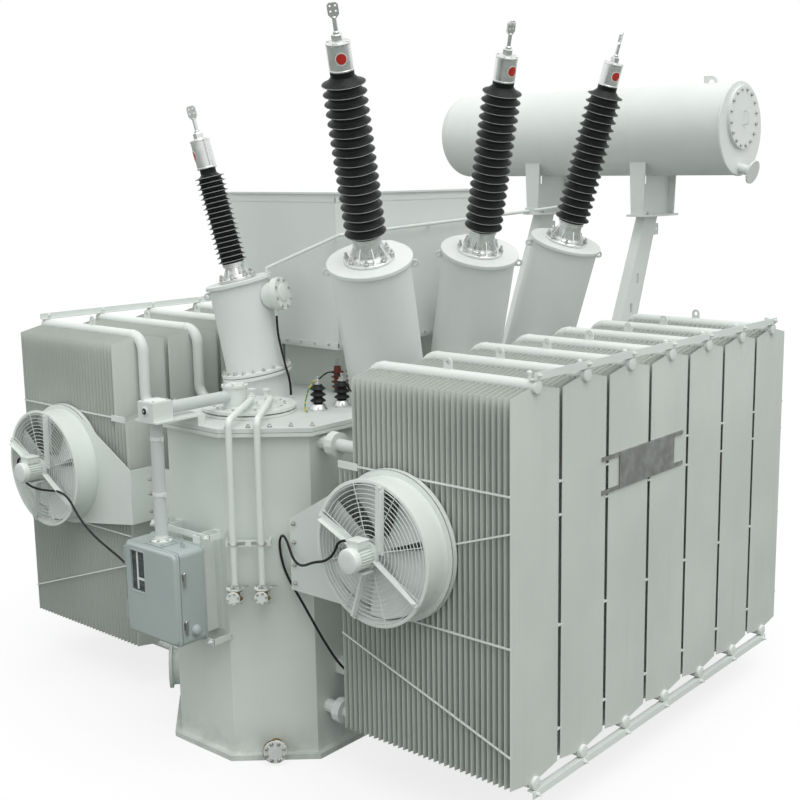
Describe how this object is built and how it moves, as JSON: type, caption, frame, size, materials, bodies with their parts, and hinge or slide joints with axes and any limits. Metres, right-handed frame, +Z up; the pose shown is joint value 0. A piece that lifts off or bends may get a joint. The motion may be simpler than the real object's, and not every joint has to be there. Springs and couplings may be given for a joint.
{
  "type": "power transformer",
  "caption": "Oil-filled power transformer with plate radiators and fans on both sides, leaning black bushings, a conservator and a control cabinet.",
  "frame": {"origin": "centre of the underside of the tank base, which rests on its foundation", "axes": "+Z up, +Y along the tank towards the conservator, +X towards the bank with the name plate"},
  "size_m": [5.334, 5.83, 5.4105],
  "materials": {
    "aluminium": "machined and cast aluminium",
    "black_rubber": "black silicone sheds",
    "blade_grey": "pale blades",
    "brass": "dull cast brass",
    "brushed": "brushed stainless plate",
    "cabinet_paint": "blue-grey paint on a cast housing",
    "cable_black": "black cable",
    "glass": "window",
    "grey_paint": "semi-gloss light grey paint",
    "zinc": "zinc-plated steel"
  },
  "bodies": {
    "transformer": {"base_plate": "grey_paint", "bushing_caps": "aluminium", "bushing_feet": "aluminium", "cabinet_body": "cabinet_paint", "cabinet_frame": "grey_paint", "conservator": "grey_paint", "conservator_hatch": "grey_paint", "conservator_legs": "grey_paint", "conservator_saddles": "grey_paint", "ct_boxes": "grey_paint", "ct_cable": "cable_black", "drain_valve": "brass", "earth_bushings": "black_rubber", "fan_cable_left": "cable_black", "fan_cable_right": "cable_black", "fan_duct_left": "grey_paint", "fan_duct_right": "grey_paint", "fan_motor_left": "grey_paint", "fan_motor_right": "grey_paint", "fan_plate_left": "grey_paint", "fan_plate_right": "grey_paint", "filter_pipes": "grey_paint", "filter_valves": "brass", "gas_pipes": "grey_paint", "headers": "grey_paint", "insulators": "black_rubber", "manhole": "grey_paint", "name_plate": "brushed", "outlet_box": "grey_paint", "outlet_plinth": "grey_paint", "radiator_left_1": "grey_paint", "radiator_left_2": "grey_paint", "radiator_left_3": "grey_paint", "radiator_left_4": "grey_paint", "radiator_left_5": "grey_paint", "radiator_left_6": "grey_paint", "radiator_left_7": "grey_paint", "radiator_rails": "grey_paint", "radiator_right_1": "grey_paint", "radiator_right_2": "grey_paint", "radiator_right_3": "grey_paint", "radiator_right_4": "grey_paint", "radiator_right_5": "grey_paint", "radiator_right_6": "grey_paint", "radiator_right_7": "grey_paint", "radiator_ties": "grey_paint", "radiator_valves": "grey_paint", "shaft_gearbox": "grey_paint", "shaft_guards": "grey_paint", "tank": "grey_paint", "tank_cover": "grey_paint", "tapchanger_head": "grey_paint", "turrets": "grey_paint"},
    "rotor_right": {"fan_rotor_right": "blade_grey"},
    "rotor_left": {"fan_rotor_left": "blade_grey"},
    "door": {"cabinet_door": "cabinet_paint", "cabinet_window": "glass"},
    "lever_1": {"filter_lever_1": "zinc"},
    "lever_2": {"filter_lever_2": "zinc"}
  },
  "joints": [
    {"name": "fan_spin_right", "type": "hinge", "parent": "transformer", "child": "rotor_right", "pos_m": [1.728, -2.1, 1.852], "axis": [0, 1, 0], "continuous": true},
    {"name": "fan_spin_left", "type": "hinge", "parent": "transformer", "child": "rotor_left", "pos_m": [-1.995, -2.1, 1.852], "axis": [0, 1, 0], "continuous": true},
    {"name": "cabinet_door_swing", "type": "hinge", "parent": "transformer", "child": "door", "pos_m": [-0.309, -2.615, 1.3285], "axis": [0, 0, -1], "range_deg": [0, 115]},
    {"name": "filter_lever_1_turn", "type": "hinge", "parent": "transformer", "child": "lever_1", "pos_m": [0.44878, -2.26008, 1.37], "axis": [0, 0, -1], "range_deg": [0, 90]},
    {"name": "filter_lever_2_turn", "type": "hinge", "parent": "transformer", "child": "lever_2", "pos_m": [0.59721, -2.13055, 1.37], "axis": [0, 0, -1], "range_deg": [0, 90]}
  ]
}
